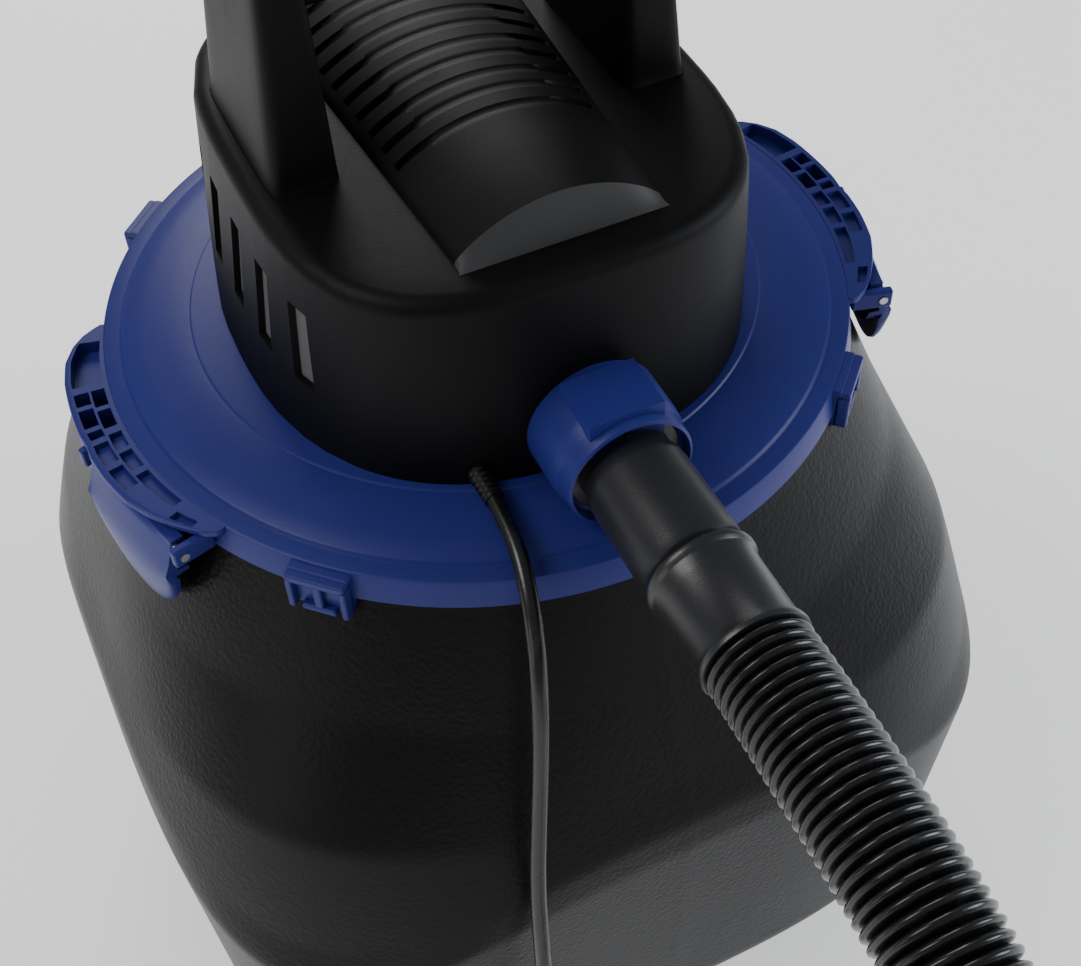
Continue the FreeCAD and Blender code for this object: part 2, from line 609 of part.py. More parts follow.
def tube_along(route, radius, label):
    points = [Vector(*p) for p in route]
    path, radii = rounded_path(points)
    section = Part.Wire(Part.makeCircle(radius, points[0], points[1] - points[0]))
    tube = path.makePipeShell([section], True, False)
    share = tube.Volume / (math.pi * radius**2 * path.Length)
    print(f"{label}: length {path.Length:.0f}, tightest radius {min(radii):.0f}, volume share {share:.4f}")
    print(f"{label} radii:", " ".join(f"{r:.0f}" for r in radii))
    return feature(tube)


hose = keep("hose_tube", tube_along(hose_route, size("hose_radius"), "hose"))
tail, tip = Vector(*hose_route[-2]), Vector(*hose_route[-1])
heading = (tip - tail).normalize()
end_length = size("hose_end_length")
end_cuff = Part.makeCone(size("cuff_radius") + 1.2, size("cuff_radius") - 0.4, end_length, tip, heading)
end_bore = Part.makeCylinder(size("cuff_bore"), end_length - 3, tip + heading * 3.5, heading)
keep("hose_end", feature(end_cuff.cut(end_bore)))

# Mains lead
keep("cord_tube", tube_along(cord_route, size("cord_radius"), "mains lead"))
coil_x, coil_y = -126, -286
coil_inner = "coil_turn_radius - coil_thick / 2"
coil_outer = "coil_turn_radius + coil_thick / 2"
keep("cord_coil", ring(coil_inner, coil_outer, "coil_height", 0.2, coil_x, coil_y))
keep("cord_tail", tube_along(tail_route, size("cord_radius"), "tail to the plug"))
plug_x, plug_y = -92, "-364 - plug_length"
keep("mains_plug", solid("Box", plug_x - 14, plug_y, 0.2, Length=28, Width="plug_length", Height=20))
blade_y = f"{plug_y} - blade_length"
blades = []
for x in (-7.1, 5.5):
    blades.append(solid("Box", plug_x + x, blade_y, 7, Length=1.6, Width="blade_length", Height=6.4))
keep("plug_blades", fused(*blades))

# Checks and export
doc.recompute()
faults = [obj.Name for obj in doc.Objects if "Invalid" in obj.State or "Error" in obj.State]
if faults:
    raise RuntimeError(f"objects in error: {faults}")
for name, obj in nodes.items():
    if obj.Shape.isNull() or not obj.Shape.isValid() or not obj.Shape.Solids:
        raise RuntimeError(f"{name} has no valid solid")

os.makedirs("parts", exist_ok=True)
for name, obj in nodes.items():
    obj.Shape.exportStep(f"parts/{name}.step")
    print(f"{name}: {len(obj.Shape.Solids)} solid(s), {obj.Shape.Volume / 1000:.1f} cm3")
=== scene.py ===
import math

import bmesh
import bpy
import numpy as np
from mathutils import Matrix


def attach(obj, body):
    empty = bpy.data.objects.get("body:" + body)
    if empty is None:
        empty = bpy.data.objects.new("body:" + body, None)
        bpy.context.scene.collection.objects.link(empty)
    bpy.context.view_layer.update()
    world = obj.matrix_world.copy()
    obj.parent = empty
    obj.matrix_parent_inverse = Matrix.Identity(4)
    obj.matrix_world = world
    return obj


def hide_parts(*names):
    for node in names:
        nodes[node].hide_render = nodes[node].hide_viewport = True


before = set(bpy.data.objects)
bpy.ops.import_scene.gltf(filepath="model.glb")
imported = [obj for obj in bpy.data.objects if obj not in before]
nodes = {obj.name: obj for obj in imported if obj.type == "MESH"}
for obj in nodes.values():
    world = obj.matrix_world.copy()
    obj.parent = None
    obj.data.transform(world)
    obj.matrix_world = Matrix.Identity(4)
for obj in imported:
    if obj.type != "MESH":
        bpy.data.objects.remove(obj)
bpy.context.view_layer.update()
print("frame loaded")

# camera: looks down into the lid from the front left
cameraFit = {"place": (-0.1515, -0.4043, 0.7140), "right": (0.9038, -0.4269, -0.0314),
             "up": (0.3418, 0.6754, 0.6535), "back": (-0.2577, -0.6013, 0.7563), "lens": 53.28}


def makeCamera():
    # camera at its place, its axes squared up
    data = bpy.data.cameras.new("camera")
    data.lens = cameraFit["lens"]
    data.sensor_width = 36
    data.clip_start = 0.01
    camera = bpy.data.objects.new("camera", data)
    axes = np.array([cameraFit["right"], cameraFit["up"], cameraFit["back"]]).T
    square = np.linalg.qr(axes)[0]  # exactly square, then each axis the way it pointed
    turn = square * np.sign(np.sum(square * axes, axis=0))
    camera.matrix_world = Matrix.Translation(cameraFit["place"]) @ Matrix(turn.tolist()).to_4x4()
    bpy.context.collection.objects.link(camera)
    bpy.context.scene.camera = camera


makeCamera()


# meshes from arrays
def smooth(x):
    # smooth step: 3x^2 - 2x^3 between 0 and 1, flat outside
    x = np.clip(x, 0, 1)
    return x * x * (3 - 2 * x)


def gridFaces(rows, cols, wrap, start=0):
    # quads between row i and row i + 1, and column j and column j + 1 (round again when wrapped)
    i, j = np.meshgrid(np.arange(rows - 1), np.arange(cols if wrap else cols - 1), indexing="ij")
    k = (j + 1) % cols
    quads = np.stack([i * cols + j, i * cols + k, (i + 1) * cols + k, (i + 1) * cols + j], axis=-1)
    return (quads.reshape(-1, 4) + start).tolist()


def grid(points, wrap=True, caps=True):
    # a sheet of points (rows, cols, 3), closed round its columns, each end capped by one face
    rows, cols = points.shape[:2]
    faces = gridFaces(rows, cols, wrap)
    if caps:
        faces.append(list(range(cols))[::-1])
        faces.append(list(range((rows - 1) * cols, rows * cols)))
    return points.reshape(-1, 3), faces


def torusGrid(points):
    # a closed profile carried round a closed path: both directions wrap
    rows, cols = points.shape[:2]
    again = np.concatenate([points, points[:1]])
    faces = np.array(gridFaces(rows + 1, cols, True)) % (rows * cols)
    return again[:-1].reshape(-1, 3), faces.tolist()


def ringOf(profile, cols=128, axis="z", centre=(0, 0, 0)):
    # a closed (radius, height) outline turned once round an axis: x = r cos t, y = r sin t
    profile = np.asarray(profile, float)
    t = np.linspace(0, 2 * np.pi, cols, endpoint=False)
    radius, height = profile[:, :1], profile[:, 1:] + 0 * t
    across = radius * np.cos(t), radius * np.sin(t), height
    if axis == "y":
        across = across[0], -across[2], across[1]
    if axis == "x":
        across = across[2], across[0], across[1]
    return torusGrid(np.stack(across, axis=-1) + np.asarray(centre))


def prism(outline, low, high, frameOf=None):
    # a flat outline (x, y) carried straight from low to high, then moved by frameOf
    outline = np.asarray(outline, float)
    count = len(outline)
    flat = [np.column_stack([outline, np.full(count, level)]) for level in (low, high)]
    points = np.stack(flat)
    if frameOf is not None:
        points = frameOf(points)
    verts, faces = grid(points)
    return verts, faces


def joined(parts):
    # meshes put end to end: each one's face numbers move on by the points before it
    verts, faces, start = [], [], 0
    for points, quads in parts:
        verts.append(points)
        faces += [[v + start for v in face] for face in quads]
        start += len(points)
    return np.concatenate(verts), faces


def piece(name, parts, material, body="vacuum", bevel=0.0, sharp=35):
    # one object from arrays in millimetres, outward faces made consistent
    verts, faces = joined(parts)
    mesh = bpy.data.meshes.new(name)
    mesh.from_pydata((verts / 1000).tolist(), [], faces)
    mesh.update()
    obj = bpy.data.objects.new(name, mesh)
    bpy.context.collection.objects.link(obj)
    bm = bmesh.new()
    bm.from_mesh(mesh)
    bmesh.ops.remove_doubles(bm, verts=bm.verts, dist=1e-6)
    bmesh.ops.recalc_face_normals(bm, faces=bm.faces)
    bm.to_mesh(mesh)
    bm.free()
    mesh.shade_smooth()
    if bevel:
        rounder = obj.modifiers.new("roundedEdges", "BEVEL")
        rounder.width = bevel / 1000
        rounder.segments = 2
        rounder.limit_method = "ANGLE"
        rounder.angle_limit = math.radians(sharp)
        rounder.harden_normals = True
        mesh.set_sharp_from_angle(angle=math.radians(sharp + 25))
    else:
        mesh.set_sharp_from_angle(angle=math.radians(sharp))
    for one in material if isinstance(material, list) else [material]:
        mesh.materials.append(one)
    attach(obj, body)
    return obj


# shader maths
class Sock:
    # a node socket that does arithmetic: each operator adds its Math node

    def __init__(self, graph, socket):
        self.graph = graph
        self.socket = socket

    def maths(self, operation, *values):
        return self.graph.node("ShaderNodeMath", {"operation": operation}, *values)

    def __add__(self, other):
        return self.maths("ADD", self, other)

    def __sub__(self, other):
        return self.maths("SUBTRACT", self, other)

    def __rsub__(self, other):
        return self.maths("SUBTRACT", other, self)

    def __mul__(self, other):
        return self.maths("MULTIPLY", self, other)

    def clamped(self, low, high):
        # 0 below low, 1 above high, smooth between
        settings = {"interpolation_type": "SMOOTHSTEP"}
        return self.graph.node("ShaderNodeMapRange", settings, self, low, high, 0.0, 1.0)

    __radd__ = __add__
    __rmul__ = __mul__


class Graph:
    def __init__(self, name):
        self.material = bpy.data.materials.new(name)
        self.material.use_nodes = True
        self.tree = self.material.node_tree
        self.shader = self.tree.nodes["Principled BSDF"]
        self.coords = self.node("ShaderNodeTexCoord", {}, output="Object")

    def node(self, kind, settings, *values, output=0, **named):
        made = self.tree.nodes.new(kind)
        for key, value in settings.items():
            setattr(made, key, value)
        for key, value in [*enumerate(values), *named.items()]:
            self.feed(made.inputs[key], value)
        return Sock(self, made.outputs[output])

    def feed(self, target, value):
        if isinstance(value, Sock):
            self.tree.links.new(value.socket, target)
        else:
            target.default_value = value

    def noise(self, scale, detail=3.0, rough=0.5, stretch=None):
        place = self.stretched(stretch) if stretch else self.coords
        return self.node("ShaderNodeTexNoise", {}, Vector=place, Scale=scale, Detail=detail, Roughness=rough)

    def stretched(self, factors):
        return self.node("ShaderNodeVectorMath", {"operation": "MULTIPLY"}, self.coords, factors)

    def cells(self, scale, **named):
        settings = {"feature": "SMOOTH_F1" if named else "F1"}
        return self.node("ShaderNodeTexVoronoi", settings, Vector=self.coords, Scale=scale, **named)

    def mixed(self, factor, first, second):
        # colour first where factor is 0 and second where it is 1
        made = self.tree.nodes.new("ShaderNodeMix")
        made.data_type = "RGBA"
        for index, value in ((0, factor), (6, first), (7, second)):
            if isinstance(value, tuple):
                value = (*value, 1) if len(value) == 3 else value
            self.feed(made.inputs[index], value)
        return Sock(self, made.outputs[2])

    def bump(self, height, strength, distance):
        made = self.node("ShaderNodeBump", {}, Strength=strength, Distance=distance, Height=height)
        self.feed(self.shader.inputs["Normal"], made)

    def set(self, **values):
        for key, value in values.items():
            name = {"base": "Base Color", "rough": "Roughness", "metal": "Metallic", "coat": "Coat Weight",
                    "coatRough": "Coat Roughness", "specular": "Specular IOR Level"}[key]
            if isinstance(value, tuple):
                value = (*value, 1)
            self.feed(self.shader.inputs[name], value)
        return self


def mouldedPlastic(name, dark, light, rough, grainScale, grainDepth, specular=0.22, coat=0.0):
    # moulded plastic: a fine spark grain, clouds in the colour, and duller patches from handling
    g = Graph(name)
    cloud = g.noise(14, 4, 0.6)
    grain = g.noise(grainScale, 2, 0.55)
    scuff = g.noise(55, 6, 0.7).clamped(0.56, 0.74)
    colour = g.mixed(cloud, dark, light)
    g.set(base=colour, rough=rough + 0.10 * (cloud - 0.5) + 0.07 * scuff + 0.10 * (grain - 0.5))
    g.set(specular=specular)
    if coat:
        g.set(coat=coat, coatRough=0.3)
    g.bump(grain, 0.5, grainDepth / 1000)
    return g.material


finishes = {}


def drumFinish():
    # black moulded skin with a leather pebble: rounded cells broken by noise, deeper in patches
    g = Graph("drumSkin")
    pebble = g.cells(560, Smoothness=0.7)
    wrinkle = g.noise(420, 4, 0.62)
    patch = g.noise(9, 3, 0.5).clamped(0.34, 0.66)
    cloud = g.noise(7, 4, 0.6)
    depth = 0.35 + 0.65 * patch
    height = (pebble * 0.8 + wrinkle * 0.7) * depth
    g.set(base=g.mixed(cloud, (0.0022, 0.0023, 0.0026), (0.0042, 0.0042, 0.0047)), specular=0.15,
          rough=0.38 + 0.10 * (wrinkle - 0.5) + 0.08 * (cloud - 0.5))
    g.bump(height, 0.6, 0.00035)
    return g.material


def wovenFoam():
    # open foam: cells in both colour and height
    g = Graph("filterFoam")
    cell = g.cells(900)
    g.set(base=g.mixed(cell, (0.008, 0.008, 0.009), (0.05, 0.05, 0.052)), rough=0.9)
    g.bump(cell, 1.0, 0.0012)
    return g.material


def turnedMetal(name, colour, rough):
    # metal with a turned or brushed grain: noise drawn out along one way
    g = Graph(name)
    streak = g.noise(60, 4, 0.6, (1, 1, 14))
    tint = tuple(0.72 * c for c in colour)
    g.set(base=g.mixed(streak, tint, colour), metal=1.0, rough=rough + 0.25 * (streak - 0.5))
    g.bump(streak, 0.2, 0.0002)
    return g.material


def cordFinish(name, rough):
    # glossy black vinyl: faint waves along it and dull handling marks
    g = Graph(name)
    mark = g.noise(120, 5, 0.65).clamped(0.5, 0.75)
    wave = g.noise(420, 3, 0.5)
    g.set(base=g.mixed(mark, (0.006, 0.006, 0.0065), (0.016, 0.016, 0.017)),
          rough=rough + 0.16 * mark + 0.05 * (wave - 0.5))
    g.bump(wave, 0.25, 0.0002)
    return g.material


def lidFinish():
    # navy moulded plastic with a satin skin: a slight orange peel and paler worn edges
    g = Graph("navyPlastic")
    cloud = g.noise(11, 4, 0.55)
    peel = g.noise(900, 2, 0.5)
    scuff = g.noise(70, 6, 0.7).clamped(0.58, 0.76)
    g.set(base=g.mixed(cloud, (0.0180, 0.0225, 0.160), (0.0230, 0.0290, 0.195)), specular=0.20,
          rough=0.36 + 0.10 * (cloud - 0.5) + 0.08 * scuff + 0.06 * (peel - 0.5))
    g.bump(peel, 0.3, 0.00012)
    return g.material


# material, dark and light colour, roughness, grain per metre, grain depth in mm, then specular level and coat
plastics = {
    "head": ("headPlastic", (0.0022, 0.0022, 0.0024), (0.0038, 0.0037, 0.0039), 0.50, 1500, 0.10, 0.13),
    # crescent: a grey far lighter than the head's black plastic, painted highlight on the dome's front end
    # face
    "crescent": ("crescentPaintedHighlight", (0.040, 0.040, 0.041), (0.052, 0.052, 0.053), 0.5, 1700, 0.06),
    "baffle": ("baffleGrey", (0.085, 0.085, 0.086), (0.105, 0.105, 0.106), 0.55, 1500, 0.06),
    "cuff": ("cuffPlastic", (0.0085, 0.0088, 0.0100), (0.0130, 0.0132, 0.0145), 0.34, 1900, 0.09, 0.62),
    "inner": ("innerPlastic", (0.045, 0.045, 0.047), (0.07, 0.07, 0.072), 0.5, 1200, 0.10),
    "wheel": ("wheelPlastic", (0.012, 0.012, 0.013), (0.02, 0.02, 0.021), 0.42, 1200, 0.12),
    "float": ("floatPlastic", (0.55, 0.53, 0.47), (0.66, 0.64, 0.58), 0.45, 900, 0.06),
    "switch": ("switchPlastic", (0.012, 0.012, 0.013), (0.018, 0.018, 0.019), 0.25, 1600, 0.04, 0.22, 0.3),
    "rubber": ("sealRubber", (0.015, 0.015, 0.015), (0.03, 0.03, 0.03), 0.7, 900, 0.1),
}
metals = {
    "steel": ("zincSteel", (0.60, 0.60, 0.59), 0.34),
    "brass": ("bladeBrass", (0.72, 0.55, 0.27), 0.3),
    "copper": ("commutatorCopper", (0.70, 0.33, 0.18), 0.32),
    "laminate": ("laminations", (0.20, 0.18, 0.16), 0.5),
    "aluminium": ("pressedAluminium", (0.74, 0.75, 0.77), 0.3),
}


def makeFinishes():
    finishes["drum"] = drumFinish()
    finishes["lid"] = lidFinish()
    for kind, settings in plastics.items():
        finishes[kind] = mouldedPlastic(*settings)
    finishes["hose"] = cordFinish("hoseVinyl", 0.23)
    finishes["cord"] = cordFinish("cordVinyl", 0.26)
    finishes["foam"] = wovenFoam()
    for kind, settings in metals.items():
        finishes[kind] = turnedMetal(*settings)


makeFinishes()
print("finishes made")

# mains lead and hose
cordSizes = {"diameter": 0.0058, "length": 2.88, "exit": (-0.038, -0.103, 0.335)}
cordRoute = [
    (-38, -103, 335), (-38.5, -117, 334.5), (-41, -132, 331), (-45, -147, 320.5), (-49, -157, 303),
    (-52, -162, 281), (-56, -167, 253), (-61, -174, 223), (-64, -182, 191), (-66, -188, 157),
    (-68, -191, 118), (-70, -193, 80), (-72, -197, 48), (-74, -205, 26), (-77, -220, 10.5),
    (-81, -243, 3.2), (-85, -267, 3.2),
]
coilSizes = {"centre": (-126, -286), "middle": 34.5, "pitch": 6.0, "across": 3, "layers": 4, "low": 3.2,
             "turns": 11, "perTurn": 28}
tailRoute = [(-84.5, -306, 20), (-85, -326, 14.5), (-88, -346, 11), (-91, -364, 10.2)]


def coilTurns():
    # turns laid side by side and layer on layer: each turn keeps its radius and height for most of the
    # way round, then shifts smoothly to the next place. Later turns shift first, so that none cross.
    s = coilSizes
    turn = np.linspace(0, s["turns"], int(s["turns"] * s["perTurn"]) + 1)
    index = np.arange(s["across"] * s["layers"] + 1)
    layer, column = index // s["across"], index % s["across"]
    inward = np.where(layer % 2 == 0, column, s["across"] - 1 - column)
    radius = s["middle"] + s["pitch"] * ((s["across"] - 1) / 2 - inward)
    height = s["low"] + s["pitch"] * layer
    k = np.minimum(turn.astype(int), len(index) - 2)
    stages = 2 * s["layers"] - 1
    stage = stages - 1 - 2 * layer[k] - (column[k] == s["across"] - 1)
    share = smooth((turn - k) * stages - stage)
    r = radius[k] + (radius[k + 1] - radius[k]) * share
    z = height[k] + (height[k + 1] - height[k]) * share
    angle = -2 * np.pi * turn
    x, y = s["centre"]
    return np.stack([x + r * np.cos(angle), y + r * np.sin(angle), z], axis=-1)


def routeCurve(name, points, bevel=0.0):
    # a smooth curve that takes its points, in millimetres, as control points
    data = bpy.data.curves.new(name, "CURVE")
    data.dimensions = "3D"
    spline = data.splines.new("NURBS")
    points = np.asarray(points, float) / 1000
    spline.points.add(len(points) - 1)
    spline.points.foreach_set("co", np.column_stack([points, np.ones(len(points))]).ravel())
    spline.order_u = 3
    spline.use_endpoint_u = True
    spline.resolution_u = 6
    data.bevel_depth = bevel
    data.bevel_resolution = 5
    data.use_fill_caps = True
    obj = bpy.data.objects.new(name, data)
    bpy.context.collection.objects.link(obj)
    return obj


def curvePoints(points, resolution=12):
    # points along the route's smooth curve
    obj = routeCurve("routeOnly", points)
    obj.data.resolution_u = resolution
    bpy.context.view_layer.update()
    mesh = bpy.data.meshes.new_from_object(obj)
    line = np.empty(len(mesh.vertices) * 3)
    mesh.vertices.foreach_get("co", line)
    bpy.data.objects.remove(obj)
    return line.reshape(-1, 3)


def resampled(line, count):
    # points evenly spaced by length along a line, and its whole length
    along = np.concatenate([[0], np.cumsum(np.linalg.norm(np.diff(line, axis=0), axis=1))])
    even = np.linspace(0, along[-1], count)
    return np.stack([np.interp(even, along, line[:, i]) for i in range(3)], axis=-1), along[-1]


def swept(line, radii, cols):
    # a tube: circles of the given radii across the line, on the upward normal made square to it
    ahead = np.gradient(line, axis=0)
    ahead /= np.linalg.norm(ahead, axis=1, keepdims=True)
    side = np.cross(ahead, (0.0, 0.0, 1.0))
    side /= np.maximum(np.linalg.norm(side, axis=1, keepdims=True), 1e-9)
    up = np.cross(side, ahead)
    t = np.linspace(0, 2 * np.pi, cols, endpoint=False)
    ring = np.cos(t)[None, :, None] * side[:, None] + np.sin(t)[None, :, None] * up[:, None]
    return line[:, None] + radii[:, None, None] * ring


def makeCord():
    # the lead from head to plug: route, coil and tail as one round tube
    points = np.concatenate([np.array(cordRoute), coilTurns(), np.array(tailRoute)])
    obj = routeCurve("mainsLead", points, cordSizes["diameter"] / 2)
    obj.data.materials.append(finishes["cord"])
    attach(obj, "vacuum")
    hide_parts("cord_tube", "cord_coil", "cord_tail")
    return obj


hoseSizes = {"outer": 17.25, "inner": 14.4, "pitch": 3.75, "rows": 7, "cols": 30, "diameter": 0.0345}
hoseRoute = [
    (0, -197, 347), (0, -262, 347), (-2, -326, 334), (-23, -382, 312), (-37, -435, 281),
    (-52, -483, 236), (-62, -525, 186), (-49, -568, 139), (-20, -611, 98), (21, -639, 62),
    (76, -654, 34), (139, -656, 18), (201, -641, 18), (254, -605, 18), (290, -554, 18),
    (305, -491, 18), (296, -429, 18), (264, -373, 18), (216, -333, 18), (155, -313, 18),
    (92, -316, 18), (34, -344, 18), (-9, -388, 18), (-35, -446, 18),
]


def makeHose():
    # ribbed hose: radius = inner + (outer - inner) * a rounded wave that is broad at the top of each rib
    s = hoseSizes
    line = curvePoints(hoseRoute)
    length = np.sum(np.linalg.norm(np.diff(line, axis=0), axis=1))
    ribs = int(length * 1000 / s["pitch"])
    centre, length = resampled(line, ribs * s["rows"] + 1)
    phase = np.linspace(0, ribs, len(centre)) % 1
    wave = np.clip(np.sin(np.pi * phase), 0, 1) ** 0.75
    radii = (s["inner"] + (s["outer"] - s["inner"]) * wave) / 1000
    radii[[0, -1]] = s["inner"] / 1000
    tube = swept(centre, radii, s["cols"]) * 1000
    obj = piece("hose", [grid(tube)], finishes["hose"], sharp=70)
    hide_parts("hose_tube")
    return obj, centre, length


hose, hoseLine, hoseLength = makeHose()
print("hose", round(hoseLength, 3))

cuffSizes = {"axisHeight": 347, "sleeve": 15.3, "grip": 16.6, "ring": 18, "bore": 12.6,
             "inEnd": 110, "ringAt": 165, "outEnd": 197, "keyWidth": 2.2, "keyLength": 9}


def makeCuff():
    # cuff turned about the port's axis: sleeve, raised ring, and a grip that ends in a rolled lip
    s = cuffSizes
    f, m, b, sleeve, top, grip = (s[key] for key in ("inEnd", "ringAt", "outEnd", "sleeve", "ring", "grip"))
    outline = [
        (s["bore"], f + 1), (sleeve - 1.2, f), (sleeve - 0.3, f + 0.4), (sleeve, f + 1.4), (sleeve, f + 11),
        (sleeve + 0.3, f + 12.2), (sleeve + 1.1, f + 14.2), (sleeve + 1.4, f + 18), (sleeve + 1.5, m - 6),
        (sleeve + 1.6, m - 3.2), (top - 0.8, m - 1.6), (top - 0.2, m - 0.9), (top, m), (top - 0.1, m + 1.6),
        (top - 0.8, m + 2.4), (grip + 0.5, m + 2.9), (grip + 0.15, m + 4.4), (grip, m + 8),
        (grip - 0.1, b - 5), (grip + 0.9, b - 2.6), (grip + 1.2, b - 1.4), (grip + 1.0, b - 0.3),
        (grip + 0.2, b), (s["bore"], b - 0.2),
    ]
    body = ringOf(outline, 128, "y", (0, 0, s["axisHeight"]))
    half, rest = s["keyWidth"] / 2, s["axisHeight"] + sleeve - 0.35
    onSleeve = lambda p: np.stack([p[..., 0], -f - 1.2 - p[..., 1], rest + p[..., 2]], -1)
    key = prism([(-half, 0), (half, 0), (half, s["keyLength"]), (-half, s["keyLength"])], 0, 0.9, onSleeve)
    obj = piece("hoseCuff", [body, key], finishes["cuff"], sharp=40)
    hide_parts("hose_cuff")
    return obj


def makeHoseEnd():
    # tool end carried on past the hose's last point: a taper with a rolled lip and a bore
    tip = np.array(hoseRoute[-1], float)
    heading = tip - np.array(hoseRoute[-2])
    heading /= np.linalg.norm(heading)
    side = np.cross(heading, (0, 0, 1.0))
    up = np.cross(side, heading)
    outline = [(12.6, 2), (15.6, 0), (16.6, 0.8), (16.9, 2.2), (16.7, 5), (16.2, 7), (15.0, 59), (14.3, 60),
               (12.6, 60), (12.4, 58)]
    verts, faces = ringOf(outline, 96)
    verts = tip + verts[:, :1] * side + verts[:, 1:2] * up + verts[:, 2:] * heading
    obj = piece("hoseToolEnd", [(verts, faces)], finishes["cuff"], sharp=40)
    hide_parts("hose_end")
    return obj


plugSizes = {"start": (-92, -402, 10.2), "length": 38, "square": 3.2,
             "along": [0, 0.04, 0.1, 0.55, 0.78, 0.92, 1],
             "halfWide": [9, 12.6, 13.4, 12.4, 7.0, 4.6, 4.0],
             "halfHigh": [6.5, 8.8, 9.4, 8.6, 6.2, 4.6, 4.0]}


def makePlug():
    # two-pin plug: a rounded body swollen in the middle, finger ridges and a tapered neck
    p, (x0, y0, z0) = plugSizes, plugSizes["start"]
    s = np.linspace(0, 1, 40)
    halfWide = np.interp(s, p["along"], p["halfWide"])
    halfHigh = np.interp(s, p["along"], p["halfHigh"])
    ridge = 1 - 0.05 * (np.sin(s * 46) > 0.2) * (s > 0.25) * (s < 0.6)
    t = np.linspace(0, 2 * np.pi, 64, endpoint=False)
    n = p["square"]
    reach = (np.abs(np.cos(t)) ** n + np.abs(np.sin(t)) ** n) ** (-1 / n)
    y = y0 + p["length"] * s[:, None] + 0 * t
    x = x0 + (halfWide * ridge)[:, None] * reach * np.cos(t)
    z = z0 + halfHigh[:, None] * reach * np.sin(t)
    obj = piece("plugBody", [grid(np.stack([x, y, z], -1))], finishes["cord"], sharp=50)
    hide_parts("mains_plug")
    return obj


cuff = makeCuff()
toolEnd = makeHoseEnd()
plug = makePlug()
mainsLead = makeCord()


gripSizes = {"axis": (-38, 0, 335), "start": 80, "length": 23, "bore": 2.7}


def makeGrip():
    # strain relief: a taper with turned grooves where the lead leaves the head
    g = gripSizes
    s = np.linspace(0, 1, 60)
    outer = np.interp(s, [0, 0.12, 0.16, 1], [4.6, 4.6, 4.1, 3.3])
    groove = 1 - 0.14 * (np.sin(s * 62) > 0.1) * (s > 0.2) * (s < 0.93)
    radius = np.concatenate([outer * groove, [g["bore"], g["bore"]]])
    along = g["start"] + g["length"] * np.concatenate([s, [1, 0]])
    outline = np.column_stack([radius, along])
    obj = piece("strainRelief", [ringOf(outline, 48, "y", g["axis"])], finishes["cord"], sharp=40)
    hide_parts("cord_grip")
    return obj


grip = makeGrip()
print("cords made")


# drum
drumSizes = {"rim": 314, "stand": 4.4, "floor": 46, "wall": 3, "rows": 150, "cols": 320,
             "upper": -87, "lower": -104, "cornerRise": 5, "cornerDrop": 26,
             "seamWidth": 0.0035, "seamHeight": 0.25,
             # half width, then squareness, at steps down the wall: rim 0, waist 1 and 2, shoulder 3, foot 4
             "half": ([0, 0.06, 0.56, 0.97, 1, 2, 3, 4, 4.5, 5],
                      [130.5, 131.8, 148.4, 162.0, 163, 170, 171.2, 166.5, 164, 158]),
             "square": ([0, 0.06, 0.56, 1, 2, 3, 4, 5], [2, 2, 2.3, 2.92, 3.48, 3.97, 3.8, 3.5])}


def drumShape(level, angle):
    # radius of the drum at heights and angles: |x/a|^n + |y/a|^n = 1, with the half width a and the
    # squareness n both led down the wall through the rim, waist, creases and foot. The creases spread
    # apart at the corners.
    s = drumSizes
    corner = np.sin(2 * angle) ** 2
    corner = corner**1.6
    upper = s["upper"] + s["cornerRise"] * corner
    lower = s["lower"] - s["cornerDrop"] * corner
    shoulder = lower - 16
    foot = -248 + 0 * lower
    base = -265 + 0 * lower
    z = level - s["rim"]
    bounds = [4.4 + 0 * lower, upper, lower, shoulder, foot, base]
    step = sum(np.clip((a - z) / (a - b), 0, 1) for a, b in zip(bounds[:-1], bounds[1:]))
    half = np.interp(step, *s["half"])
    square = np.interp(step, *s["square"])
    reach = (np.abs(np.cos(angle)) ** square + np.abs(np.sin(angle)) ** square) ** (-1 / square)
    return half * reach


def makeDrum():
    # outer wall, a quarter round at the foot, the floor, and an inner wall: one closed skin, with a raised
    # moulding seam down the front, exp(-(angle / width)^2) high
    s = drumSizes
    t = np.linspace(0, 2 * np.pi, s["cols"], endpoint=False)
    z = np.linspace(s["rim"] + s["stand"], s["floor"] + 3, s["rows"])
    radius = drumShape(z[:, None], t[None, :])
    kernel = np.array([1, 2, 3, 2, 1]) / 9
    soft = np.apply_along_axis(lambda c: np.convolve(np.pad(c, 2, mode="edge"), kernel, "valid"), 0, radius)
    radius = np.concatenate([radius[:2], soft[2:]])
    fromFront = (t + np.pi / 2 + np.pi) % (2 * np.pi) - np.pi
    seam = np.exp(-((fromFront / s["seamWidth"]) ** 2))
    radius = radius + s["seamHeight"] * seam[None, :]
    turnIn = np.linspace(0.12, 1, 7)[:, None]
    foot = radius[-1] - 9 * (1 - np.sqrt(np.clip(1 - turnIn**2, 0, 1)))
    footZ = s["floor"] + 3 - 3 * turnIn
    shrink = np.array([0.97, 0.6, 0.2, 0.001])[:, None]
    rows = [radius, foot, foot[-1] * shrink]
    levels = [z[:, None] + 0 * t, footZ + 0 * t, s["floor"] + 0 * shrink + 0 * t]
    inner = (radius - s["wall"])[::-3]
    rows = [inner[0] * np.array([0.001, 0.5])[:, None], inner, *rows]
    levels = [s["floor"] + 6 + np.zeros((2, 1)) + 0 * t, z[::-3][:, None] + 0 * t, *levels]
    r, h = np.concatenate(rows), np.concatenate(levels)
    points = np.stack([r * np.cos(t), r * np.sin(t), h], -1)
    obj = piece("drumShell", [grid(points)], finishes["drum"], sharp=60)
    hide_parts("drum")


makeDrum()
print("drum made")

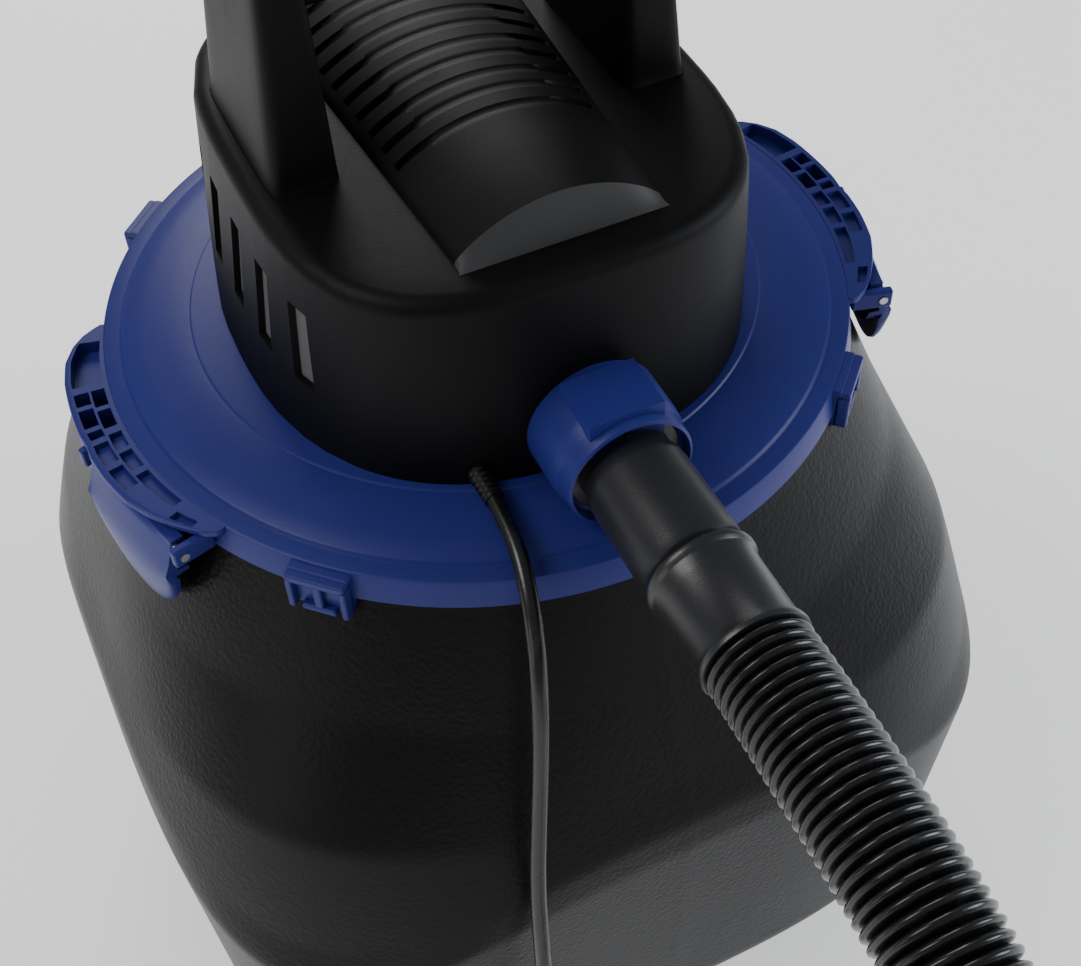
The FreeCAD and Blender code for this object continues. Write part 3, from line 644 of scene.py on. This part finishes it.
# lid
lidSizes = {"base": 314, "collarRadius": 22.6, "collarFront": 122, "axisHeight": 347, "mouth": 19.4,
            "linerHole": 18.35, "tabWidth": 25, "tabBack": 98}


def lidOutline():
    # skirt, flat edge, a small step, a long gentle slope, and a fine step round the head; then the underside
    b = lidSizes["base"]
    return [
        (135.0, b), (134.9, b + 0.5), (133.6, b + 9.2), (133.2, b + 10.2), (132.4, b + 10.6),
        (127.6, b + 10.6), (127.0, b + 10.8), (126.4, b + 11.7), (125.7, b + 12.1), (118.0, b + 13.7),
        (110.0, b + 15.1), (103.0, b + 15.9), (101.6, b + 15.9), (101.0, b + 16.5), (100.2, b + 16.6),
        (68.0, b + 16.6), (68.0, b + 13.4), (112.0, b + 12.0), (121.5, b + 9.2), (123.5, b + 7.6),
        (131.0, b + 7.5), (132.2, b + 6.0), (133.0, b),
    ]


def polar(angle):
    # moves points given as (outward, sideways, up) to the lid's wall at an angle in degrees
    c, s = math.cos(math.radians(angle)), math.sin(math.radians(angle))
    return lambda p: np.stack([p[..., 0] * c - p[..., 1] * s, p[..., 0] * s + p[..., 1] * c, p[..., 2]], -1)


def boxAt(angle, u0, u1, v0, v1, z0, z1):
    # a box outward from u0 to u1, sideways from v0 to v1 and up from z0 to z1, at an angle on the wall
    return prism([(u0, v0), (u1, v0), (u1, v1), (u0, v1)], z0, z1, polar(angle))


flangeSizes = {
    # angle and outer radius round the left side, from the back to the front
    "outline": [(161, 134.6), (161.6, 136.6), (163, 140.5), (165, 143.8), (168, 146.6), (172, 147.6),
                (182, 147.8), (184.4, 147.3), (186.5, 147.9), (191, 147.9), (196, 147.2), (200, 145.2),
                (204, 142.6), (207.6, 139.4), (209.2, 136.6), (209.6, 134.6)],
    "lobe": (164.6, 173.4),
    "innerCells": [(174.9, 178.2), (179.2, 182.8), (184.2, 187.4), (188.4, 192.2), (193.4, 201.4)],
    "outerCells": [(174.9, 177.2), (178.2, 181.6), (182.6, 184.0), (185.2, 189.2), (190.4, 194.6),
                   (202.6, 206)],
    # radii across the top, with both cell rows' edges, at the flange's full reach
    "rows": [133, 134.7, 135, 139.1, 139.4, 140.2, 140.5, 145.1, 145.4, 146.9],
    "root": 133, "full": 147.8, "top": 324.5, "split": 184.4, "coverLow": 321.9,
}


def makeFlange(side):
    # flange with cells: angle by outline. The outline runs along the underside, up the outer wall and
    # back over the top, its radii stretched to the flange's reach at that angle; the top drops by a depth
    # where a cell's mask is 1.
    s = flangeSizes
    table = np.array(s["outline"])
    cells = [s["lobe"], *s["innerCells"], *s["outerCells"]]
    edges = [e + d for cell in cells for e in cell for d in (-0.09, 0.09)]
    edges += [s["split"] - 0.05, s["split"] + 0.05]
    t = np.unique(np.concatenate([table[:, 0], np.linspace(161, 209.6, 110), edges]))
    reach = np.interp(t, table[:, 0], table[:, 1])[:, None]
    stretch = (reach - s["root"]) / (s["full"] - s["root"])
    rows = np.array(s["rows"])
    radius = s["root"] + (rows - s["root"]) * stretch
    within = lambda spans: np.any([(t > a) & (t < b) for a, b in spans], axis=0)[:, None]
    lobe, inner, outer = within([s["lobe"]]), within(s["innerCells"]), within(s["outerCells"])
    index = np.arange(len(rows))[None, :]
    mask = lobe & (index >= 2) & (index <= 7)
    mask = mask | (inner & ((index == 2) | (index == 3))) | (outer & ((index == 6) | (index == 7)))
    depth = np.where(t < 174, 4.6, np.where(t < s["split"], 8.0, 2.0))[:, None]
    top = s["top"] - depth * mask
    low = np.where(t < s["split"], np.interp(t, [161, 170, 184], [317, 310, 308]), s["coverLow"])[:, None]
    root = s["root"] + 0 * reach
    wallRadius = np.concatenate([root, reach - 0.6 * stretch, reach, reach, reach - 0.3 * stretch], axis=1)
    wallZ = np.concatenate([low, low, low + 0.5, s["top"] - 0.8 + 0 * low, s["top"] - 0.2 + 0 * low], axis=1)
    radius = np.concatenate([wallRadius, radius[:, ::-1]], axis=1)
    z = np.concatenate([wallZ, top[:, ::-1]], axis=1)
    angle = np.radians(t if side < 0 else 180 - t)[:, None]
    points = np.stack([radius * np.cos(angle), radius * np.sin(angle), z], -1)
    return grid(points if side < 0 else points[::-1])


def smallBoss(angle):
    # boss under the rim with a T-shaped rib on its face
    b = lidSizes["base"]
    return [
        boxAt(angle, 130, 136.6, -10.5, 10.5, b - 7, b + 9.6),
        boxAt(angle, 134, 139.5, -10.5, -8.0, b - 7, b + 8.6),
        boxAt(angle, 134, 139.5, 8.0, 10.5, b - 7, b + 8.6),
        boxAt(angle, 134, 139.5, -10.5, 10.5, b + 5.6, b + 9.0),
        boxAt(angle, 134, 138.8, -1.6, 1.6, b - 6, b + 6),
        boxAt(angle, 134, 139.2, -6.0, 6.0, b - 7, b - 4.4),
    ]


def makeCollar():
    # a ring about the port's axis, from an outline in radius and distance forward, with a stepped mouth
    s = lidSizes
    f, r, m = s["collarFront"], s["collarRadius"], s["mouth"]
    outline = [
        (s["linerHole"], f - 30), (s["linerHole"], f - 5), (m - 0.6, f - 4.6), (m, f - 4.0),
        (m + 0.4, f - 0.7), (m + 0.8, f), (r - 2.1, f - 0.1), (r - 1.5, f - 0.6), (r - 1.3, f - 1.6),
        (r - 1.3, f - 6.0), (r - 0.9, f - 7.4), (r - 0.3, f - 9.0), (r - 0.1, f - 12.0), (r, f - 40),
        (r - 4, f - 41),
    ]
    ring = ringOf(outline, 144, "y", (0, 0, s["axisHeight"]))
    # the tab: a low arch, its top at r + 1 - 0.7 side^2, carried along the port
    half = s["tabWidth"] / 2
    t = np.linspace(-1, 1, 33)
    side = np.sign(t) * (1 - (1 - np.abs(t)) ** 2.2)
    top = r + 1.0 - 0.7 * side**2
    foot = 9 + 0 * side
    arch = np.concatenate([np.stack([half * side, top], 1), np.stack([half * side[::-1], foot], 1)])
    toPort = lambda p: np.stack([p[..., 0], -p[..., 2], s["axisHeight"] + p[..., 1]], -1)
    tab = prism(arch, s["tabBack"], f - 3.4, toPort)
    return ring, tab


hingeLug = {"reach": (132, 147), "near": 27.2, "far": 30.6, "low": 0.4, "high": 7.8}


def makeLid():
    # skin turned from the outline, side flanges, bosses with the latches' hinge lugs, port collar and tab
    b = lidSizes["base"]
    skin = piece("lidSkin", [ringOf(lidOutline(), 256)], finishes["lid"], sharp=28)
    flanges = piece("lidFlanges", [makeFlange(1), makeFlange(-1)], finishes["lid"], sharp=40)
    lugs = [part for angle in (-45, -135, 45, 135) for part in smallBoss(angle)]
    for angle in (-15, 195):
        for side in (-1, 1):
            near, far = side * hingeLug["near"], side * hingeLug["far"]
            low, high = b + hingeLug["low"], b + hingeLug["high"]
            lugs.append(boxAt(angle, *hingeLug["reach"], near, far, low, high))
    bosses = piece("lidBosses", lugs, finishes["lid"], bevel=0.9)
    ring, tab = makeCollar()
    port = piece("portCollar", [ring], finishes["lid"], sharp=32)
    lock = piece("portLock", [tab], finishes["lid"], bevel=1.6, sharp=40)
    for one in (skin, flanges, bosses, port, lock):
        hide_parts("lid")


makeLid()
print("lid made")

# latches
latchSizes = {"width": 50, "base": 314, "pivot": 143.5}


def makeLatch(name, angle):
    # a tongue that hangs from the rim: an outline in outward and upward is carried sideways by v, from -1
    # to 1. What hangs more than 4 mm below the base shortens by the square root of 1 - (0.97 |v|)^2.6,
    # which rounds the lower edge, and the outer face falls back by 1.6 v^2.
    b, p = latchSizes["base"], latchSizes["pivot"]
    outline = np.array([
        (p - 3.4, b + 7.0), (p + 1.4, b + 7.2), (p + 2.7, b + 6.4), (p + 3.5, b + 4.5), (p + 4.2, b + 2),
        (p + 5.6, b - 2), (p + 7.0, b - 7), (p + 7.9, b - 13), (p + 7.6, b - 22), (p + 6.9, b - 28),
        (p + 6.0, b - 32), (p + 5.0, b - 33.6), (p + 3.6, b - 33), (p + 3.4, b - 30), (p + 4.3, b - 24),
        (p + 4.7, b - 19.5), (p - 2.4, b - 18.4), (p - 2.4, b - 14.4), (p + 3.1, b - 12.9),
        (p + 2.8, b - 4), (p - 3.6, b - 2),
    ])
    v = np.sin(np.linspace(-0.5, 0.5, 41) * np.pi)[:, None]
    under = np.minimum(outline[None, :, 1] - (b - 4), 0)
    z = outline[None, :, 1] - under * (1 - np.sqrt(np.clip(1 - (0.97 * np.abs(v)) ** 2.6, 0, 1)))
    u = outline[None, :, 0] + 0 * v - 1.6 * v**2 * (outline[None, :, 0] > p + 2.5)
    side = latchSizes["width"] / 2 * v + 0 * u
    points = polar(angle)(np.stack([u, side, z], -1))
    obj = piece(name + "Lever", [grid(points)], finishes["lid"], body=name, bevel=0.5, sharp=38)
    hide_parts(name)


makeLatch("latch_left", 195)
makeLatch("latch_right", -15)
print("latches made")

# motor head
headSizes = {"base": 330.6, "height": 76.4, "halfX": 88, "halfY": 96.5, "draftX": 10, "draftY": 3.5,
             "edge": 5.5, "slots": 5, "slotFirst": -50, "slotPitch": 23.2, "slotWidth": 9.5, "slotLow": 357,
             "slotHigh": 388, "slotDepth": 2.2, "slotSquare": 2.72}


def headShell():
    # wall of the head by height h from 0 to 1: half widths shrink with the draft, squareness n grows from
    # 2.4 to 3.2; the top edge is a quarter round, then the top face closes in to its middle. Along the
    # sides each column keeps its share of the half length, so slot edges stand upright; at the ends it
    # keeps its angle, and the two are blended between.
    s = headSizes
    slotEdges = []
    for i in range(s["slots"]):
        middle = s["slotFirst"] + i * s["slotPitch"]
        for side in (-1, 1):
            edge = middle + side * s["slotWidth"] / 2
            slotEdges += [edge - 0.35 * side, edge, edge + 0.35 * side]
    f = np.array(sorted(slotEdges)) / (s["halfY"] - 0.45 * s["draftY"])
    n = s["slotSquare"]
    tangent = f / (1 - np.abs(f) ** n) ** (1 / n)
    phi = np.arctan(tangent)
    plain = np.radians(np.linspace(0, 360, 220, endpoint=False))
    plain = plain[(np.abs(np.sin(plain)) > 0.62) | (np.abs(np.cos(plain)) < 0.5)]
    phi = np.unique(np.concatenate([phi % (2 * np.pi), (np.pi - phi) % (2 * np.pi), plain]))
    low = np.array([0, 0.6, 2, 8, 16, 25.6])
    lips = np.array([s["slotLow"] - 0.3, s["slotLow"], s["slotLow"] + 0.3]) - s["base"]
    tops = np.array([s["slotHigh"] - 0.3, s["slotHigh"], s["slotHigh"] + 0.3]) - s["base"]
    h = np.concatenate([low, lips, np.linspace(30, 55, 6), tops, [61, 65, 68, s["height"] - s["edge"]]])
    k = h / s["height"]
    a = s["halfX"] - s["draftX"] * k
    b = s["halfY"] - s["draftY"] * k
    square = 2.4 + 0.8 * k
    q = np.radians(np.linspace(12, 90, 8))
    a = np.concatenate([a, a[-1] - s["edge"] * (1 - np.cos(q))])
    b = np.concatenate([b, b[-1] - s["edge"] * (1 - np.cos(q))])
    z = np.concatenate([h, s["height"] - s["edge"] + s["edge"] * np.sin(q)]) + s["base"]
    square = np.concatenate([square, np.full(len(q), square[-1])])
    for share in (0.93, 0.8, 0.6, 0.3, 0.002):
        a, b = np.append(a, a[len(h) + 7] * share), np.append(b, b[len(h) + 7] * share)
        z, square = np.append(z, z[-1]), np.append(square, square[-1])
    c, w = np.cos(phi)[None, :], np.sin(phi)[None, :]
    n = square[:, None]
    reach = (np.abs(c) ** n + np.abs(w) ** n) ** (-1 / n)
    m = s["slotSquare"]
    fixed = w * (np.abs(c) ** m + np.abs(w) ** m) ** (-1 / m)
    side = np.clip(1 - np.abs(fixed) ** n, 1e-9, 1) ** (1 / n) * np.sign(c)
    blend = smooth((np.abs(fixed) - 0.62) / 0.2)
    x = a[:, None] * (side * (1 - blend) + reach * c * blend)
    y = b[:, None] * (fixed * (1 - blend) + reach * w * blend)
    level = z[:, None] + 0 * x
    inSlot = np.zeros_like(x)
    for i in range(s["slots"]):
        middle = (s["slotFirst"] + i * s["slotPitch"]) / (s["halfY"] - 0.45 * s["draftY"]) * b[:, None]
        inSlot += (np.abs(y - middle) < s["slotWidth"] / 2 - 0.17) & (np.abs(x) > 40)
    inSlot = (inSlot > 0) & (level > s["slotLow"] + 0.1) & (level < s["slotHigh"] - 0.1)
    x = x - np.sign(x) * s["slotDepth"] * inSlot
    return np.stack([x, y, level], -1), inSlot


def makeHead():
    # the shell; faces sunk by most of the slots' depth take the baffle's grey
    points, inSlot = headShell()
    obj = piece("headShell", [grid(points)], [finishes["head"], finishes["baffle"]], sharp=35)
    mesh = obj.data
    centres = np.empty(len(mesh.polygons) * 3)
    mesh.polygons.foreach_get("center", centres)
    centres = centres.reshape(-1, 3) * 1000
    s = headSizes
    k = (centres[:, 2] - s["base"]) / s["height"]
    wall = s["halfX"] - s["draftX"] * k
    n = 2.4 + 0.8 * k
    y = np.abs(centres[:, 1]) / (s["halfY"] - s["draftY"] * k)
    surface = wall * np.clip(1 - y**n, 0, 1) ** (1 / n)
    deep = surface - np.abs(centres[:, 0]) > 0.8 * s["slotDepth"]
    deep = deep & (centres[:, 2] > s["slotLow"]) & (centres[:, 2] < s["slotHigh"])
    mesh.polygons.foreach_set("material_index", deep.astype(np.int32))
    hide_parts("motor_housing")
    return obj


domeSizes = {"top": 407, "front": -79, "back": 60, "frontHalf": 34, "backHalf": 43, "rise": 14.5,
             "louvres": 10, "louvreFirst": -31, "louvrePitch": 9.5, "louvreDepth": 2.6}


def makeDome():
    # barrel over the motor: across it the height is a circular bulge, rise * (1 - u^2)^0.85, along it the
    # width grows to the back; louvre grooves cross it, and its front end is cut by a slope
    s = domeSizes
    edges = []
    for i in range(s["louvres"]):
        y = s["louvreFirst"] + i * s["louvrePitch"]
        edges += [y, y + 0.5, y + 3.2, y + 3.7]
    y = np.unique(np.concatenate([np.linspace(s["front"] + 5, s["back"], 50), edges]))
    u = np.linspace(-1, 1, 61)
    half = np.interp(y, [s["front"], s["back"]], [s["frontHalf"], s["backHalf"]])[:, None]
    bulge = s["rise"] * np.clip(1 - u**2, 0, 1) ** 0.85
    phase = (y - s["louvreFirst"]) / s["louvrePitch"]
    into = (phase % 1) * s["louvrePitch"]
    groove = (into > 0.4) & (into < 3.3) & (phase > 0) & (phase < s["louvres"])
    across = smooth((0.90 - np.abs(u)) / 0.05) * (0.09 + 0.91 * smooth((np.abs(u) - 0.5) / 0.35))
    z = s["top"] + bulge[None, :] - s["louvreDepth"] * groove[:, None] * across[None, :]
    z[:, [0, -1]] = s["top"] - 2
    x = half * u[None, :]
    points = np.stack([x, y[:, None] + 0 * x, z], -1)
    obj = piece("headDome", [grid(points, wrap=False, caps=False)], finishes["head"], sharp=40)
    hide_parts("motor_housing")
    # end face: from the barrel's first arc down and forward to a straight foot
    foot = points[0].copy()
    foot[:, 1] = s["front"]
    foot[:, 2] = s["top"] + 0.15
    steps = np.linspace(0, 1, 8)[:, None, None]
    # end face: from the barrel's first arc down and forward to a straight foot; its pale grey finish is a
    # painted highlight, not a lighter plastic
    face = points[0][None] * (1 - steps) + foot[None] * steps
    plate = piece("headCrescent", [grid(face, wrap=False, caps=False)], finishes["crescent"], sharp=60)
    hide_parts("motor_housing")


makeHead()
makeDome()
print("head made")

# carry handle
handleSizes = {"top": 407, "rise": 80, "inner": 48, "width": 24, "front": -23, "depth": 68}


def handleLeg(side):
    # a leg from the head's top to the grip: |x/a|^9 + |y/b|^9 = 1, a and b shrinking with height h, the
    # back edge coming forward much more than the front goes back, and the outer face leaning in
    s = handleSizes
    h = np.linspace(0, 1, 40)[:, None]
    outer = s["inner"] + s["width"] * np.interp(h, [0, 0.04, 0.5, 1], [1, 0.96, 0.82, 0.68])
    inner = s["inner"] + 1.5 * h
    front = s["front"] + np.interp(h, [0, 0.04, 1], [0, 1.2, 4])
    back = s["front"] + np.interp(h, [0, 0.04, 0.6, 0.8, 1], [s["depth"], 66.5, 63, 58, 42])
    t = np.linspace(0, 2 * np.pi, 64, endpoint=False)[None, :]
    n = 9.0
    reach = (np.abs(np.cos(t)) ** n + np.abs(np.sin(t)) ** n) ** (-1 / n)
    x = (outer + inner) / 2 + (outer - inner) / 2 * reach * np.cos(t)
    y = (front + back) / 2 + (back - front) / 2 * reach * np.sin(t)
    z = s["top"] - 1 + (s["rise"] - 6) * h + 0 * t
    return grid(np.stack([side * x, y, z], -1))


def handleGrip():
    # grip across the legs: a rounded section carried along x, bowed up a little at the middle
    s = handleSizes
    x = np.linspace(-1, 1, 60)[:, None]
    t = np.linspace(0, 2 * np.pi, 64, endpoint=False)[None, :]
    n = 3.4
    reach = (np.abs(np.cos(t)) ** n + np.abs(np.sin(t)) ** n) ** (-1 / n)
    ends = np.clip(1 - np.abs(x) ** 24, 0, 1) ** 0.35
    y = s["front"] + 3 + 16 + 15.6 * reach * np.cos(t) * (0.72 + 0.28 * ends)
    z = s["top"] + s["rise"] - 12.4 + 11.8 * reach * np.sin(t) * (0.6 + 0.4 * ends) - 0.6 * x**2
    return grid(np.stack([59.4 * x + 0 * t, y, np.minimum(z, s["top"] + s["rise"])], -1))


def makeHandle():
    parts = [handleLeg(-1), handleLeg(1), handleGrip()]
    obj = piece("carryHandle", parts, finishes["head"], bevel=0.8, sharp=50)
    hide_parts("carry_handle")


makeHandle()
print("handle made")

# carried-over nodes get their finishes
finishOf = {
    "lid_gasket": "rubber", "port_liner": "cuff", "inlet_deflector": "head", "vent_baffle": "baffle",
    "exhaust_port": "head", "handle_screws": "steel", "switch_bezel": "head", "rocker_switch": "switch",
    "motor_plate": "inner", "bearing": "steel", "plate_screws": "steel", "motor_stator": "laminate",
    "motor_bracket": "inner", "carbon_brushes": "rubber", "rotor_shaft": "steel", "armature": "laminate",
    "commutator": "copper", "fan_housing": "aluminium", "impeller_nut": "steel", "impeller": "aluminium",
    "float_cage": "inner", "float_ball": "float", "filter_sleeve": "foam", "filter_band": "rubber",
    "latch_pins": "steel", "caster_sockets": "head", "caster_fork": "head", "caster_axle": "steel",
    "caster_wheel": "wheel", "plug_blades": "brass",
}


def dressNodes():
    # each node takes the first finish whose name starts its own
    for name, obj in nodes.items():
        kind = next((k for k in finishOf if name.startswith(k)), None)
        if kind:
            obj.data.materials.clear()
            obj.data.materials.append(finishes[finishOf[kind]])


dressNodes()

# studio
studio = {
    "floor": (0.9, 0.9, 0.9), "glow": 0.5,
    "lights": [
        # place, aim, size, power, colour
        ((-1.1, 0.2, 1.7), (0, 0, 0.3), 1.0, 14, (1, 1, 1)),
        ((1.4, -0.7, 0.85), (0, 0, 0.2), 0.9, 15, (0.88, 0.93, 1.0)),
        ((0.3, 1.6, 1.2), (0, 0, 0.3), 1.0, 14, (1, 1, 1)),
        ((-1.5, -0.5, 0.6), (0, 0, 0.15), 0.6, 2, (1.0, 0.95, 0.9)),
    ],
}


def makeStudio():
    # a pale glowing floor, a dim sky and four round softboxes, each turned to its aim
    mesh = bpy.data.meshes.new("floor")
    mesh.from_pydata([(-6, -6, 0), (6, -6, 0), (6, 6, 0), (-6, 6, 0)], [], [(0, 1, 2, 3)])
    floor = bpy.data.objects.new("floor", mesh)
    bpy.context.collection.objects.link(floor)
    g = Graph("paleFloor")
    g.set(base=studio["floor"], rough=0.75)
    g.shader.inputs["Emission Color"].default_value = (1, 1, 1, 1)
    g.shader.inputs["Emission Strength"].default_value = studio["glow"]
    mesh.materials.append(g.material)
    world = bpy.data.worlds.new("studio")
    bpy.context.scene.world = world
    world.use_nodes = True
    world.node_tree.nodes["Background"].inputs["Color"].default_value = (0.93, 0.95, 1.0, 1)
    world.node_tree.nodes["Background"].inputs["Strength"].default_value = 0.30
    for index, (place, aim, size, power, colour) in enumerate(studio["lights"]):
        data = bpy.data.lights.new(f"softbox{index}", "AREA")
        data.shape = "DISK"
        data.size = size
        data.energy = power
        data.color = colour
        lamp = bpy.data.objects.new(f"softbox{index}", data)
        back = np.array(place) - np.array(aim)
        back = back / np.linalg.norm(back)
        side = np.cross((0, 0, 1.0), back)
        side /= np.linalg.norm(side)
        turn = np.array([side, np.cross(back, side), back]).T
        lamp.matrix_world = Matrix.Translation(place) @ Matrix(turn.tolist()).to_4x4()
        bpy.context.collection.objects.link(lamp)


makeStudio()
print("scene made")
